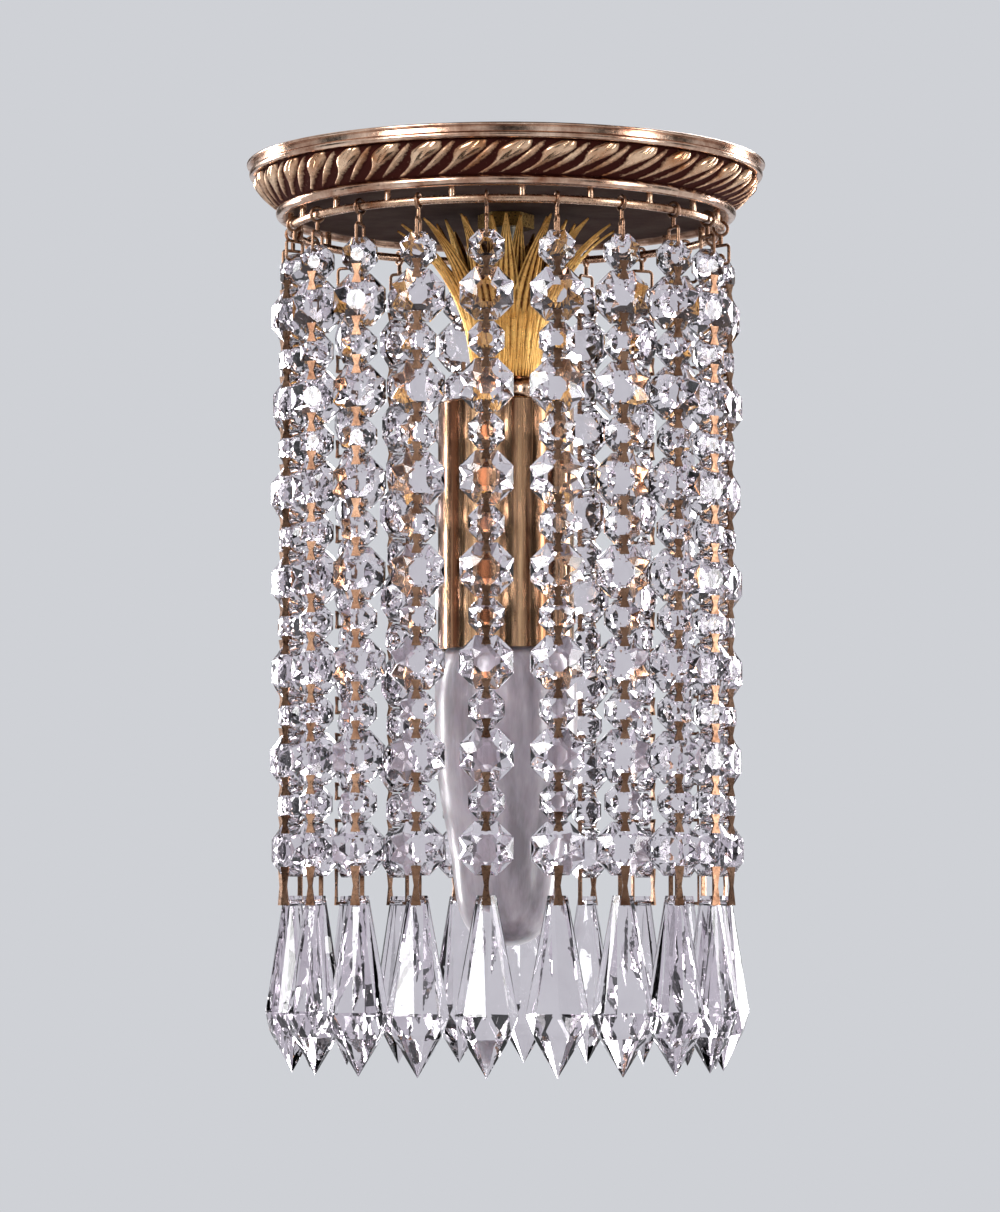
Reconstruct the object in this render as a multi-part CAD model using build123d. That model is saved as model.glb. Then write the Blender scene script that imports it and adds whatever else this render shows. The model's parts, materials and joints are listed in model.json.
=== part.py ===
from build123d import *
import math
import os

# Crystal fitting: a round brass canopy held against the ceiling, a ring of hanging
# crystal strands, and in the middle a gilt leaf husk, a brass sleeve and a candle bulb.
# Millimetres, +Z up. The origin is the centre of the canopy's top face, which lies
# against the ceiling, and the viewer stands at -Y.

# ---- strands -------------------------------------------------------------------------------------
STRAND_COUNT = 20
STRAND_PHASE = -5.0
STRAND_TURN = 40.0
BEAD_COUNT = 7
BEAD_SIZE = 12.6
BEAD_THICKNESS = 6.0
BEAD_HOLE_INSET = 1.8
SMALL_BEAD_SIZE = 8.5
SMALL_BEAD_THICKNESS = 4.4
SMALL_BEAD_HOLE_INSET = 1.4
BEAD_GAP = 0.3
BEAD_SLACK = 4.0
SLACK_STEP_BEAD = 1.9
SLACK_STEP_STRAND = 2.3
FIRST_BEAD_DROP = 11.65

# The cut is the same on both sizes of octagon: its steps are shares of the bead's own
# width and thickness.
FACETS = 8
TABLE_SHARE = 0.40
WAIST_SHARE = 0.70
WAIST_THICKNESS_SHARE = 0.72
EDGE_THICKNESS_SHARE = 0.28

SPEAR_DROP = 4.7
SPEAR_LENGTH = 42.5
SPEAR_WIDTH = 15.0
SPEAR_DEPTH = 10.4
SPEAR_TOP_WIDTH = 5.0
SPEAR_TOP_DEPTH = 3.4
SPEAR_WIDEST = 28.0
SPEAR_SHOULDER = 32.5
SPEAR_SHOULDER_WIDTH = 12.6
SPEAR_SHOULDER_DEPTH = 8.8
SPEAR_HOLE_INSET = 1.8

CLIP_WIRE = 0.4
HOLE_CLEARANCE = 0.35
CLIP_CLEARANCE = 0.4
CLIP_CORNER = 0.9
BOW_WIDTH = 2.4
BOW_WAIST = 1.0
BOW_THICKNESS = 0.5
BOW_OVERHANG = 0.5
HOOK_LOOP = 4.6
HOOK_SHANK = 0.55

# ---- canopy --------------------------------------------------------------------------------------
CANOPY_RADIUS = 64.0
RIM_WIDTH = 4.5
LIP_HEIGHT = 0.7
GROOVE_DEPTH = 1.3
GROOVE_HEIGHT = 1.2
RIM_BEAD_INSET = 0.6
RIM_BEAD_HEIGHT = 1.6
BAND_INSET = 1.4
BAND_TAPER = 5.6
BAND_HEIGHT = 7.5
BAND_BULGE = 1.3
BAND_WALL = 2.3
LEAF_COUNT = 36
LEAF_SLANT = 45.0
LEAF_GROOVE_RADIUS = 2.0
LEAF_GROOVE_DEPTH = 1.0
LEAF_GROOVE_LENGTH = 14.0
FLOOR_THICKNESS = 1.2
FLOOR_BEAD_INSET = 1.5
FLOOR_BEAD_RADIUS = 1.3
RING_INSET = 2.5
RING_WIRE = 1.0
POST_RADIUS = 0.8
EYE_CLEARANCE = 0.3
EYE_TO_BEAD_GAP = 0.6

# ---- ceiling strap and stem ----------------------------------------------------------------------
STRAP_LENGTH = 96.0
STRAP_WIDTH = 12.0
STRAP_THICKNESS = 1.5
SLOT_SPACING = 70.0
SLOT_LENGTH = 14.0
SLOT_WIDTH = 5.0
EARTH_SCREW_PLACE = 18.0
EARTH_SCREW_RADIUS = 1.9
EARTH_HEAD_RADIUS = 3.4
EARTH_HEAD_HEIGHT = 2.2
STEM_RADIUS = 4.0
STEM_BORE_RADIUS = 2.7
STEM_HOLE_CLEARANCE = 0.05
NUT_ACROSS_FLATS = 12.0
NUT_HEIGHT = 3.5
LEAD_SLOT_WIDTH = 4.1
LEAD_SLOT_HEIGHT = 2.4

# ---- wiring --------------------------------------------------------------------------------------
LEAD_RADIUS = 0.8
LEAD_SPACING = 1.9
LEAD_BEND = 2.2
LEAD_TIGHT_BEND = 1.0
LEAD_HEIGHT = 3.0
LEAD_ENTRY = 1.0
LEAD_STRAIGHT = 3.2
LEAD_TO_SCREW_GAP = 0.3
BLOCK_LENGTH = 17.0
BLOCK_WIDTH = 16.0
BLOCK_HEIGHT = 7.0
BLOCK_PLACE = 22.0
BLOCK_POLE_SPACING = 7.0
BLOCK_SCREW_SPACING = 9.0
BLOCK_SCREW_RADIUS = 1.6
BLOCK_WAY_RADIUS = 1.4
BLOCK_WAY_DEPTH = 4.0
SCREW_SLOT_WIDTH = 0.6
SCREW_SLOT_DEPTH = 0.6

# ---- leaf husk and collar ------------------------------------------------------------------------
HUSK_LEAVES = 10
HUSK_TIP_GAP = 0.8
NUT_ROOM = 0.77
HUSK_RIM_RADIUS = 28.0
HUSK_WAIST_RADIUS = 10.5
HUSK_WAIST_RISE = 15.0
HUSK_RISE = 40.0
HUSK_SHEET = 0.9
HUSK_NOTCH_RISE = 11.0
HUSK_LEAF_WIDTH = 12.0
HUSK_SHOULDER_RISE = 25.0
COLLAR_HEIGHT = 5.9
COLLAR_RADIUS = 8.6
COLLAR_WAIST_RADIUS = 6.8

# ---- sleeve and lampholder -----------------------------------------------------------------------
SLEEVE_RADIUS = 16.75
SLEEVE_WALL = 0.9
SLEEVE_EDGE = 0.7
SLEEVE_COVER = 12.0
SLEEVE_TO_BULB_GAP = 0.55
HOLDER_CAP_HEIGHT = 14.0
HOLDER_CAP_RADIUS = 13.5
HOLDER_CAP_WALL = 1.5
HOLDER_BODY_RADIUS = 13.0
HOLDER_BODY_HEIGHT = 33.0
HOLDER_FLOOR = 6.0
SHELL_WALL = 0.5
SHELL_INSET = 1.0
STEM_ENGAGEMENT = 6.0
HOLDER_SCREW_PLACE = 7.8
HOLDER_SCREW_RADIUS = 1.8
HOLDER_SCREW_HEIGHT = 3.0
CONTACT_RADIUS = 3.0

# ---- bulb ----------------------------------------------------------------------------------------
BULB_CAP_RADIUS = 7.0
BULB_CAP_WALL = 0.4
BULB_CAP_HEIGHT = 20.0
BULB_RUNNING_GAP = 0.3
INSULATOR_HEIGHT = 2.6
INSULATOR_RADIUS = 4.6
BULB_CONTACT_RADIUS = 2.4
BULB_CONTACT_HEIGHT = 1.2
BULB_RADIUS = 17.5
BULB_LENGTH = 84.5
BULB_WALL = 0.9
NECK_CLEARANCE = 0.2
NECK_FLARE = 0.4
BULB_WIDEST = 32.0
BULB_SHOULDER_BELOW_SLEEVE = 1.0
BULB_WAIST_RADIUS = 13.2
BULB_WAIST_DROP = 65.0
FILAMENT_STEM_RADIUS = 2.0
FILAMENT_STEM_LENGTH = 26.0
FILAMENT_SPREAD = 4.5
FILAMENT_ROOT = 1.0
FILAMENT_BEND = 1.0
FILAMENT_WIRE = 0.35

# ---- radii that follow from the sizes above ------------------------------------------------------
RIM_BORE_RADIUS = CANOPY_RADIUS - RIM_WIDTH
GROOVE_RADIUS = CANOPY_RADIUS - GROOVE_DEPTH
RIM_BEAD_RADIUS = CANOPY_RADIUS - RIM_BEAD_INSET
BAND_TOP_RADIUS = CANOPY_RADIUS - BAND_INSET
BAND_BOTTOM_RADIUS = BAND_TOP_RADIUS - BAND_TAPER
FLOOR_BEAD_PLACE = BAND_BOTTOM_RADIUS - FLOOR_BEAD_INSET
STRAND_RADIUS = FLOOR_BEAD_PLACE - RING_INSET
EYE_RADIUS = RING_WIRE + EYE_CLEARANCE + CLIP_WIRE
HOLE_RADIUS = CLIP_WIRE + HOLE_CLEARANCE
CLIP_DEPTH = BEAD_THICKNESS * WAIST_THICKNESS_SHARE + BOW_THICKNESS + 2 * CLIP_CLEARANCE
NUT_CORNER_RADIUS = NUT_ACROSS_FLATS / math.sqrt(3)
HUSK_BASE_RADIUS = NUT_CORNER_RADIUS + NUT_ROOM + HUSK_SHEET
STEM_HOLE_RADIUS = STEM_RADIUS + STEM_HOLE_CLEARANCE
SLEEVE_BORE_RADIUS = SLEEVE_RADIUS - SLEEVE_WALL
BULB_NECK_RADIUS = BULB_CAP_RADIUS - BULB_CAP_WALL - NECK_CLEARANCE
BULB_SHOULDER_RADIUS = SLEEVE_BORE_RADIUS - SLEEVE_TO_BULB_GAP

# ---- levels that follow from the sizes above -----------------------------------------------------
RIM_BOTTOM = -(LIP_HEIGHT + GROOVE_HEIGHT + RIM_BEAD_HEIGHT)
FLOOR_TOP = RIM_BOTTOM - BAND_HEIGHT
FLOOR_BOTTOM = FLOOR_TOP - FLOOR_THICKNESS
FLOOR_BEAD_LEVEL = FLOOR_TOP - FLOOR_BEAD_RADIUS
RING_LEVEL = FLOOR_TOP - 2 * FLOOR_BEAD_RADIUS - EYE_TO_BEAD_GAP - EYE_RADIUS - CLIP_WIRE
HUSK_BASE = FLOOR_BOTTOM - HUSK_TIP_GAP - HUSK_RISE
SLEEVE_TOP = HUSK_BASE - COLLAR_HEIGHT
HOLDER_TOP = SLEEVE_TOP - SLEEVE_WALL
HOLDER_BODY_TOP = HOLDER_TOP - HOLDER_CAP_HEIGHT
HOLDER_BODY_BOTTOM = HOLDER_BODY_TOP - HOLDER_BODY_HEIGHT
STEM_BOTTOM = HOLDER_TOP - STEM_ENGAGEMENT
SOCKET_TOP = HOLDER_BODY_TOP - HOLDER_FLOOR
BULB_CAP_BOTTOM = HOLDER_BODY_BOTTOM - SHELL_INSET
BULB_CAP_TOP = BULB_CAP_BOTTOM + BULB_CAP_HEIGHT
BULB_TIP = BULB_CAP_BOTTOM - BULB_LENGTH
SLEEVE_BOTTOM = BULB_CAP_BOTTOM - SLEEVE_COVER
LEAD_LEVEL = FLOOR_TOP + LEAD_HEIGHT

# Drops along a strand, from its hang point to a bead's centre or to the spear's hole.
BEAD_PITCH = BEAD_SIZE + SMALL_BEAD_SIZE + 2 * BEAD_GAP
BEAD_HOLE = BEAD_SIZE / 2 - BEAD_HOLE_INSET
SMALL_BEAD_HOLE = SMALL_BEAD_SIZE / 2 - SMALL_BEAD_HOLE_INSET
LAST_BEAD_DROP = FIRST_BEAD_DROP + (BEAD_COUNT - 0.5) * BEAD_PITCH
SPEAR_HOLE_DROP = LAST_BEAD_DROP + BEAD_SIZE / 2 + SPEAR_DROP + SPEAR_HOLE_INSET


def turned(points):
    """Solid turned about Z from an outline of (radius, height) points."""
    return revolve(Plane.XZ * make_face(Polyline(*points, close=True)), Axis.Z)


def tube(outer, inner, top, bottom):
    """Upright tube between two levels."""
    return turned([(inner, bottom), (outer, bottom), (outer, top), (inner, top)])


def rod(radius, top, bottom, x=0.0, y=0.0):
    """Upright round bar between two levels."""
    return Pos(x, y, (top + bottom) / 2) * Cylinder(radius, top - bottom)


def wire_along(path, radius):
    """Round wire that follows a path."""
    return sweep(Plane(origin=path @ 0, z_dir=path % 0) * Circle(radius), path=path)


def hex_nut(top):
    """Hexagon nut on the stem, with its upper face at the given level."""
    hexagon = RegularPolygon(NUT_ACROSS_FLATS / 2, 6, major_radius=False)
    hexagon -= Circle(STEM_HOLE_RADIUS)
    return Pos(0, 0, top - NUT_HEIGHT) * extrude(hexagon, NUT_HEIGHT)


def slotted_screw(radius, height):
    """Screw head standing on its own base, with a driver slot across its top."""
    head = rod(radius, height, 0)
    return head - Pos(0, 0, height) * Box(4 * radius, SCREW_SLOT_WIDTH, 2 * SCREW_SLOT_DEPTH)


# ---- crystals ------------------------------------------------------------------------------------
def facet_ring(width, depth, height, shift):
    """Corners of a level ring of facets, stretched to a width along X and a depth along Y."""
    angles = [2 * math.pi * (k + shift) / FACETS for k in range(FACETS)]
    return [(width / 2 * math.cos(a), depth / 2 * math.sin(a), height) for a in angles]


def octagon_bead(size, thickness, hole_place):
    """Cut octagon that faces Y, with an upper and a lower hole through its thickness."""
    corners = size / math.cos(math.pi / FACETS)
    points = []
    for half in (-thickness / 2, thickness / 2):
        points += facet_ring(corners, corners, half * EDGE_THICKNESS_SHARE, 0.5)
        points += facet_ring(size * WAIST_SHARE, size * WAIST_SHARE, half * WAIST_THICKNESS_SHARE, 0)
        points += facet_ring(size * TABLE_SHARE, size * TABLE_SHARE, half, 0.5)
    bead = ConvexPolyhedron([(x, z, y) for x, y, z in points])
    for level in (-hole_place, hole_place):
        bead -= Pos(0, 0, level) * Rot(90, 0, 0) * Cylinder(HOLE_RADIUS, 2 * thickness)
    return bead


def spear():
    """Pointed drop that hangs from a hole at its own origin."""
    top = SPEAR_HOLE_INSET
    points = facet_ring(SPEAR_TOP_WIDTH, SPEAR_TOP_DEPTH, top, 0.5)
    points += facet_ring(SPEAR_WIDTH, SPEAR_DEPTH, top - SPEAR_WIDEST, 0)
    points += facet_ring(SPEAR_SHOULDER_WIDTH, SPEAR_SHOULDER_DEPTH, top - SPEAR_SHOULDER, 0.5)
    points.append((0, 0, top - SPEAR_LENGTH))
    return ConvexPolyhedron(points) - Rot(90, 0, 0) * Cylinder(HOLE_RADIUS, SPEAR_DEPTH)


# ---- clips ---------------------------------------------------------------------------------------
def bow_clip(span):
    """Clip through two holes, hung from its upper one: a flat bow in front, a strip behind."""
    end = BOW_OVERHANG
    bow = make_face(Polyline(
        (-BOW_WIDTH / 2, end), (BOW_WIDTH / 2, end), (BOW_WAIST / 2, -span / 2),
        (BOW_WIDTH / 2, -span - end), (-BOW_WIDTH / 2, -span - end), (-BOW_WAIST / 2, -span / 2),
        close=True))
    clip = Pos(0, -CLIP_DEPTH / 2, 0) * extrude(Plane.XZ * bow, BOW_THICKNESS / 2, both=True)
    clip += Pos(0, CLIP_DEPTH / 2, -span / 2) * Box(BOW_WAIST, BOW_THICKNESS, span + 2 * end)
    for level in (0, -span):
        clip += Pos(0, 0, level) * Rot(90, 0, 0) * Cylinder(CLIP_WIRE, CLIP_DEPTH)
    return clip


def strand_hook(turn):
    """Eye round the ring wire, a twisted shank, and a turned loop through the first bead."""
    eye = revolve(Plane.XZ * Pos(EYE_RADIUS, 0) * Circle(CLIP_WIRE), Axis.Z)
    hole = SMALL_BEAD_HOLE - FIRST_BEAD_DROP
    shank = rod(HOOK_SHANK, -EYE_RADIUS, hole + HOOK_LOOP)
    path = (Plane.YZ * RectangleRounded(CLIP_DEPTH, HOOK_LOOP, CLIP_CORNER)).wire()
    loop = Pos(0, 0, hole + HOOK_LOOP / 2) * Rot(0, 0, turn) * wire_along(path, CLIP_WIRE)
    return Rot(0, 90, 0) * eye + shank + loop


def strand_angle(index):
    """Angle of a strand from the viewer's side, in degrees, growing towards +X."""
    return STRAND_PHASE + index * 360 / STRAND_COUNT


def strand_place(index):
    """Place of a strand's hang point, with the strand's own -Y facing outwards."""
    return Rot(0, 0, strand_angle(index)) * Pos(0, -STRAND_RADIUS, RING_LEVEL)


def strand_turn(index):
    """Turn of a strand's faces: strands at the sides are turned towards the viewer."""
    return -STRAND_TURN * math.sin(math.radians(strand_angle(index)))


def bead_turn(index, place):
    """Turn of one bead: the strand's turn and a small slack of its own."""
    return strand_turn(index) + BEAD_SLACK * math.sin(SLACK_STEP_BEAD * place + SLACK_STEP_STRAND * index)


def bead_drops():
    """Drop of every bead's centre below the hang point, small and large in turn."""
    return [FIRST_BEAD_DROP + place * BEAD_PITCH / 2 for place in range(2 * BEAD_COUNT)]


def strand_crystals(index, small, large, drop):
    """The small and large octagons of one strand, in turn, and the spear at its end."""
    pieces = []
    for place, depth in enumerate(bead_drops()):
        bead = large if place % 2 else small
        pieces.append(Pos(0, 0, -depth) * Rot(0, 0, bead_turn(index, place)) * bead)
    pieces.append(Pos(0, 0, -SPEAR_HOLE_DROP) * Rot(0, 0, strand_turn(index)) * drop)
    return [strand_place(index) * piece for piece in pieces]


def strand_clips(index, short, long):
    """The hook of one strand, the clips between its beads, and the longer one to its spear."""
    turn = Rot(0, 0, strand_turn(index))
    pieces = [strand_hook(bead_turn(index, 0))]
    for place, depth in enumerate(bead_drops()[:-1]):
        hole = BEAD_HOLE if place % 2 else SMALL_BEAD_HOLE
        pieces.append(Pos(0, 0, -depth - hole) * turn * short)
    pieces.append(Pos(0, 0, -LAST_BEAD_DROP - BEAD_HOLE) * turn * long)
    return [strand_place(index) * piece for piece in pieces]


# ---- canopy --------------------------------------------------------------------------------------
def canopy_rim():
    """Turned top ring: a thin lip, a groove and a rounded bead."""
    lip_bottom = -LIP_HEIGHT
    groove_bottom = lip_bottom - GROOVE_HEIGHT
    lip = ThreePointArc(
        (CANOPY_RADIUS - LIP_HEIGHT / 2, 0), (CANOPY_RADIUS, lip_bottom / 2),
        (CANOPY_RADIUS - LIP_HEIGHT / 2, lip_bottom))
    bead = ThreePointArc(
        (GROOVE_RADIUS, groove_bottom), (RIM_BEAD_RADIUS, (groove_bottom + RIM_BOTTOM) / 2),
        (BAND_TOP_RADIUS, RIM_BOTTOM))
    outline = [
        Line((RIM_BORE_RADIUS, 0), lip @ 0), lip,
        Polyline(lip @ 1, (GROOVE_RADIUS, lip_bottom), (GROOVE_RADIUS, groove_bottom)), bead,
        Polyline(bead @ 1, (RIM_BORE_RADIUS, RIM_BOTTOM), (RIM_BORE_RADIUS, 0))]
    return revolve(Plane.XZ * make_face(Curve() + outline), Axis.Z)


def band_section(inset):
    """Convex outline of the leaf band, from its top edge to its bottom edge."""
    top = (BAND_TOP_RADIUS - inset, RIM_BOTTOM)
    bottom = (BAND_BOTTOM_RADIUS - inset, FLOOR_TOP)
    middle = ((top[0] + bottom[0]) / 2 + BAND_BULGE, (top[1] + bottom[1]) / 2)
    return ThreePointArc(top, middle, bottom)


def leaf_band():
    """Cast band with slanted grooves that part its leaves."""
    outer = band_section(0)
    inner = band_section(BAND_WALL)
    outline = [outer, Line(outer @ 1, inner @ 1), inner, Line(inner @ 0, outer @ 0)]
    band = revolve(Plane.XZ * make_face(Curve() + outline), Axis.Z)
    middle = outer @ 0.5
    lean = math.degrees(math.atan2(BAND_TOP_RADIUS - BAND_BOTTOM_RADIUS, BAND_HEIGHT))
    reach = middle.X + LEAF_GROOVE_RADIUS - LEAF_GROOVE_DEPTH
    groove = Rot(0, lean, 0) * Rot(-LEAF_SLANT, 0, 0) * Cylinder(LEAF_GROOVE_RADIUS, LEAF_GROOVE_LENGTH)
    for k in range(LEAF_COUNT):
        band -= Rot(0, 0, (k + 0.5) * 360 / LEAF_COUNT) * Pos(reach, 0, middle.Y) * groove
    return band


def canopy_floor():
    """Round floor of the canopy with a rolled edge bead and a hole for the stem."""
    disc = tube(FLOOR_BEAD_PLACE, STEM_HOLE_RADIUS, FLOOR_TOP, FLOOR_BOTTOM)
    bead = Plane.XZ * Pos(FLOOR_BEAD_PLACE, FLOOR_BEAD_LEVEL) * Circle(FLOOR_BEAD_RADIUS)
    return disc + revolve(bead, Axis.Z)


def hanging_ring():
    """Wire ring that carries the strand hooks, on one short post in each gap."""
    ring = revolve(Plane.XZ * Pos(STRAND_RADIUS, RING_LEVEL) * Circle(RING_WIRE), Axis.Z)
    half_gap = 180 / STRAND_COUNT
    post = rod(POST_RADIUS, FLOOR_BOTTOM, RING_LEVEL, y=-STRAND_RADIUS)
    return ring + [Rot(0, 0, strand_angle(k) + half_gap) * post for k in range(STRAND_COUNT)]


def ceiling_strap():
    """Flat strap against the ceiling with two screw slots, the stem hole and the earth screw hole."""
    plan = Rectangle(STRAP_LENGTH, STRAP_WIDTH)
    plan -= Circle(STEM_HOLE_RADIUS)
    plan -= Pos(EARTH_SCREW_PLACE, 0) * Circle(EARTH_SCREW_RADIUS)
    for side in (-1, 1):
        plan -= Pos(side * SLOT_SPACING / 2, 0) * SlotOverall(SLOT_LENGTH, SLOT_WIDTH)
    return Pos(0, 0, -STRAP_THICKNESS) * extrude(plan, STRAP_THICKNESS)


def earth_screw():
    """Earth screw through the strap, with its head below."""
    head = Rot(180, 0, 0) * slotted_screw(EARTH_HEAD_RADIUS, EARTH_HEAD_HEIGHT)
    shank = rod(EARTH_SCREW_RADIUS - STEM_HOLE_CLEARANCE, STRAP_THICKNESS, 0)
    return Pos(EARTH_SCREW_PLACE, 0, -STRAP_THICKNESS) * (head + shank)


def threaded_stem():
    """Hollow stem from the strap to the lampholder, with a slot where the leads go in."""
    stem = tube(STEM_RADIUS, STEM_BORE_RADIUS, 0, STEM_BOTTOM)
    slot = Pos(0, STEM_RADIUS, LEAD_LEVEL) * Box(LEAD_SLOT_WIDTH, 2 * STEM_RADIUS, LEAD_SLOT_HEIGHT)
    return stem - slot


# ---- wiring --------------------------------------------------------------------------------------
def terminal_block():
    """Two-pole block on the canopy floor, with a screw hole over each end of a pole."""
    middle = FLOOR_TOP + BLOCK_HEIGHT / 2
    block = Pos(0, BLOCK_PLACE, middle) * Box(BLOCK_WIDTH, BLOCK_LENGTH, BLOCK_HEIGHT)
    for side in (-1, 1):
        x = side * BLOCK_POLE_SPACING / 2
        for end in (-1, 1):
            face = BLOCK_PLACE + end * BLOCK_LENGTH / 2
            way = Rot(90, 0, 0) * Cylinder(BLOCK_WAY_RADIUS, 2 * BLOCK_WAY_DEPTH)
            block -= Pos(x, face, LEAD_LEVEL) * way
    for x, y in block_screw_places():
        block -= rod(BLOCK_SCREW_RADIUS, FLOOR_TOP + BLOCK_HEIGHT, LEAD_LEVEL + BLOCK_WAY_RADIUS, x, y)
    return block


def block_screw_places():
    """Centres of the four terminal screws."""
    sides = (-BLOCK_POLE_SPACING / 2, BLOCK_POLE_SPACING / 2)
    ends = (BLOCK_PLACE - BLOCK_SCREW_SPACING / 2, BLOCK_PLACE + BLOCK_SCREW_SPACING / 2)
    return [(x, y) for x in sides for y in ends]


def terminal_screws():
    """The four screws of the terminal block, flush with its top."""
    bottom = LEAD_LEVEL + BLOCK_WAY_RADIUS
    screw = slotted_screw(BLOCK_SCREW_RADIUS, FLOOR_TOP + BLOCK_HEIGHT - bottom)
    return [Pos(x, y, bottom) * screw for x, y in block_screw_places()]


def lead(side):
    """Insulated lead from the terminal block through the stem to one lampholder screw."""
    face = BLOCK_PLACE - BLOCK_LENGTH / 2
    pole = side * BLOCK_POLE_SPACING / 2
    lane = side * LEAD_SPACING / 2
    seat = HOLDER_BODY_TOP + HOLDER_SCREW_HEIGHT / 2
    outer = side * (HOLDER_SCREW_PLACE - HOLDER_SCREW_RADIUS - LEAD_TO_SCREW_GAP)
    path = FilletPolyline(
        (pole, face + LEAD_ENTRY, LEAD_LEVEL), (pole, face - LEAD_STRAIGHT, LEAD_LEVEL),
        (lane, 2 * STEM_BORE_RADIUS, LEAD_LEVEL), (lane, 0, LEAD_LEVEL), (lane, 0, seat),
        (outer, 0, seat), radius=(LEAD_TIGHT_BEND, LEAD_TIGHT_BEND, LEAD_BEND, LEAD_BEND))
    return wire_along(path, LEAD_RADIUS)


# ---- husk and collar -----------------------------------------------------------------------------
def husk_curve(inset):
    """Flaring outline of the husk's sheet, from its base to the leaf tips."""
    base = (HUSK_BASE_RADIUS - inset, HUSK_BASE)
    waist = (HUSK_WAIST_RADIUS - inset, HUSK_BASE + HUSK_WAIST_RISE)
    tip = (HUSK_RIM_RADIUS - inset, HUSK_BASE + HUSK_RISE)
    return Spline(base, waist, tip)


def leaf_husk():
    """Stamped husk: a base disc on the collar and a flaring cup cut into pointed leaves."""
    outer = husk_curve(0)
    inner = husk_curve(HUSK_SHEET)
    outline = [outer, Line(outer @ 1, inner @ 1), inner, Line(inner @ 0, outer @ 0)]
    cup = revolve(Plane.XZ * make_face(Curve() + outline), Axis.Z)
    base = tube(HUSK_BASE_RADIUS, STEM_HOLE_RADIUS, HUSK_BASE + HUSK_SHEET, HUSK_BASE)
    above_notches = Pos(0, 0, HUSK_BASE + HUSK_NOTCH_RISE + HUSK_RISE / 2)
    calyx = cup - above_notches * Box(4 * HUSK_RIM_RADIUS, 4 * HUSK_RIM_RADIUS, HUSK_RISE)
    half = HUSK_LEAF_WIDTH / 2
    foot = math.pi * HUSK_BASE_RADIUS / HUSK_LEAVES
    leaf = make_face(Polyline(
        (foot, 0), (foot, HUSK_NOTCH_RISE), (half, HUSK_SHOULDER_RISE), (0, HUSK_RISE),
        (-half, HUSK_SHOULDER_RISE), (-foot, HUSK_NOTCH_RISE), (-foot, 0), close=True))
    blade = cup & Pos(0, 0, HUSK_BASE) * extrude(Plane.XZ * leaf, 2 * HUSK_RIM_RADIUS)
    return base + calyx + [Rot(0, 0, k * 360 / HUSK_LEAVES) * blade for k in range(HUSK_LEAVES)]


def husk_collar():
    """Turned neck between the husk and the sleeve."""
    waist = ThreePointArc(
        (HUSK_BASE_RADIUS, HUSK_BASE), (COLLAR_WAIST_RADIUS, HUSK_BASE - COLLAR_HEIGHT / 2),
        (COLLAR_RADIUS, SLEEVE_TOP))
    rest = Polyline(waist @ 1, (STEM_HOLE_RADIUS, SLEEVE_TOP), (STEM_HOLE_RADIUS, HUSK_BASE), waist @ 0)
    return revolve(Plane.XZ * make_face(Curve() + [waist, rest]), Axis.Z)


# ---- sleeve and lampholder -----------------------------------------------------------------------
def lamp_sleeve():
    """Thin sleeve over the lampholder, closed round the stem, with a rounded upper edge."""
    side = SLEEVE_RADIUS - SLEEVE_EDGE
    edge = RadiusArc((side, SLEEVE_TOP), (SLEEVE_RADIUS, SLEEVE_TOP - SLEEVE_EDGE), SLEEVE_EDGE)
    rest = Polyline(
        edge @ 1, (SLEEVE_RADIUS, SLEEVE_BOTTOM), (SLEEVE_BORE_RADIUS, SLEEVE_BOTTOM),
        (SLEEVE_BORE_RADIUS, HOLDER_TOP), (STEM_HOLE_RADIUS, HOLDER_TOP),
        (STEM_HOLE_RADIUS, SLEEVE_TOP), edge @ 0)
    return revolve(Plane.XZ * make_face(Curve() + [edge, rest]), Axis.Z)


def holder_cap():
    """Cap screwed on the stem, with a hollow for the terminals."""
    inner = HOLDER_CAP_RADIUS - HOLDER_CAP_WALL
    return turned([
        (STEM_HOLE_RADIUS, HOLDER_TOP), (HOLDER_CAP_RADIUS, HOLDER_TOP),
        (HOLDER_CAP_RADIUS, HOLDER_BODY_TOP), (inner, HOLDER_BODY_TOP), (inner, STEM_BOTTOM),
        (STEM_HOLE_RADIUS, STEM_BOTTOM)])


def holder_body():
    """Moulded lampholder body with a socket open at the bottom."""
    socket = BULB_CAP_RADIUS + BULB_RUNNING_GAP + SHELL_WALL
    return turned([
        (0, HOLDER_BODY_TOP), (HOLDER_BODY_RADIUS, HOLDER_BODY_TOP),
        (HOLDER_BODY_RADIUS, HOLDER_BODY_BOTTOM), (socket, HOLDER_BODY_BOTTOM), (socket, SOCKET_TOP),
        (0, SOCKET_TOP)])


def thread_shell():
    """Screw shell in the socket that grips the bulb's cap."""
    inner = BULB_CAP_RADIUS + BULB_RUNNING_GAP
    return tube(inner + SHELL_WALL, inner, BULB_CAP_TOP, HOLDER_BODY_BOTTOM + SHELL_INSET)


def centre_contact():
    """Contact pad between the socket's end and the bulb's tip contact."""
    bottom = BULB_CAP_TOP + INSULATOR_HEIGHT + BULB_CONTACT_HEIGHT + BULB_RUNNING_GAP
    return rod(CONTACT_RADIUS, SOCKET_TOP, bottom)


def holder_screws():
    """Two terminal screws on top of the lampholder body."""
    screw = slotted_screw(HOLDER_SCREW_RADIUS, HOLDER_SCREW_HEIGHT)
    return [Pos(side * HOLDER_SCREW_PLACE, 0, HOLDER_BODY_TOP) * screw for side in (-1, 1)]


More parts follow.
